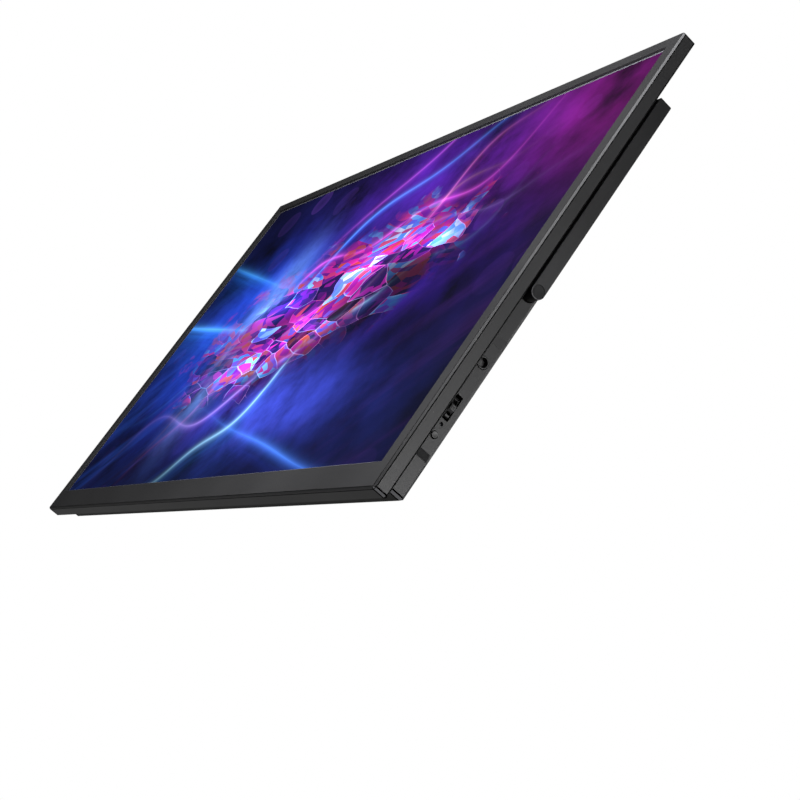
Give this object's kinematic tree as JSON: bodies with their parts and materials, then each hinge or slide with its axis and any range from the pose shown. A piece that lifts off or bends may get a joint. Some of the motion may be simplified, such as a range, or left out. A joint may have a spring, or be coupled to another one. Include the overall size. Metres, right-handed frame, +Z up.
{
  "type": "portable monitor",
  "caption": "Slim portable monitor with a thicker electronics bay along the lower back, side ports and controls, wall-mount holes and a fold-out loop stand.",
  "frame": {"origin": "under the middle of the monitor with the stand folded, on the plane of its lower edge", "axes": "+X to the viewer's right as they face the screen, +Y from the screen to the back, +Z up"},
  "size_m": [0.4304, 0.017, 0.2532],
  "materials": {
    "bezel_plastic": "fine matte texture, near black",
    "shell_plastic": "fine matte texture, near black",
    "screen": "semi-gloss film over the picture",
    "lcd_glass": "polished sheet",
    "diffuser": "milky films",
    "light_guide": "clear moulded sheet",
    "led_strip": "white strip with yellow lamps",
    "reflector": "white sheet",
    "chassis_metal": "bare folded sheet",
    "circuit_board": "solder mask with black parts",
    "foam_tape": "foam tape",
    "brass": "turned and knurled",
    "port_metal": "bright drawn shell",
    "jack_plastic": "smooth black",
    "switch_plastic": "moulded",
    "button_plastic": "fine matte",
    "light_lens": "translucent",
    "speaker_plastic": "moulded",
    "ribbon_cable": "film with printed tracks",
    "wire_sleeve": "soft sleeve",
    "hinge_steel": "zinc-plated",
    "stand_paint": "dark satin coat on aluminium",
    "pad_rubber": "smooth rubber",
    "cap_plastic": "matte",
    "screw_steel": "blackened"
  },
  "bodies": {
    "monitor": {"front_bezel": "bezel_plastic", "screen_film": "screen", "lcd_cell": "lcd_glass", "optical_films": "diffuser", "light_guide": "light_guide", "led_strip": "led_strip", "reflector_sheet": "reflector", "panel_chassis": "chassis_metal", "driver_board": "circuit_board", "mounting_tape": "foam_tape", "rear_shell": "shell_plastic", "bay_cover": "shell_plastic", "wall_mount_inserts": "brass", "main_board": "circuit_board", "usb_c_port_upper": "port_metal", "usb_c_port_lower": "port_metal", "mini_hdmi_port": "port_metal", "key_board": "circuit_board", "headphone_jack": "jack_plastic", "power_switch": "switch_plastic", "jog_switch": "switch_plastic", "status_light": "light_lens", "speaker_left": "speaker_plastic", "speaker_right": "speaker_plastic", "panel_cable": "ribbon_cable", "key_cable": "ribbon_cable", "speaker_cables": "wire_sleeve", "hinge_bracket_left": "hinge_steel", "hinge_bracket_right": "hinge_steel", "friction_washers_left": "hinge_steel", "friction_washers_right": "hinge_steel", "board_screws": "screw_steel", "bracket_screws": "screw_steel", "cover_screws": "screw_steel"},
    "stand": {"stand_frame": "stand_paint", "stand_pads": "pad_rubber", "hinge_pin_left": "hinge_steel", "hinge_pin_right": "hinge_steel", "pivot_cap_left": "cap_plastic", "pivot_cap_right": "cap_plastic", "hinge_nuts": "hinge_steel"},
    "power_button": {"power_button": "button_plastic"},
    "jog_slider": {"jog_slider": "switch_plastic"},
    "jog_lever": {"jog_lever": "button_plastic"}
  },
  "joints": [
    {"name": "stand_hinge", "type": "hinge", "parent": "monitor", "child": "stand", "pos_m": [0, 0.0032, 0.1107], "axis": [-1, 0, 0], "range_deg": [0, 150]},
    {"name": "power_press", "type": "slide", "parent": "monitor", "child": "power_button", "axis": [-1, 0, 0], "range_m": [0, 0.0004], "stiffness_N_per_m": 3000, "springref_m": -0.0002},
    {"name": "jog_slide", "type": "slide", "parent": "monitor", "child": "jog_slider", "axis": [0, 0, 1], "range_m": [-0.0012, 0.0012], "stiffness_N_per_m": 800},
    {"name": "jog_press", "type": "slide", "parent": "jog_slider", "child": "jog_lever", "axis": [-1, 0, 0], "range_m": [0, 0.0004], "stiffness_N_per_m": 3000, "springref_m": -0.0002}
  ]
}
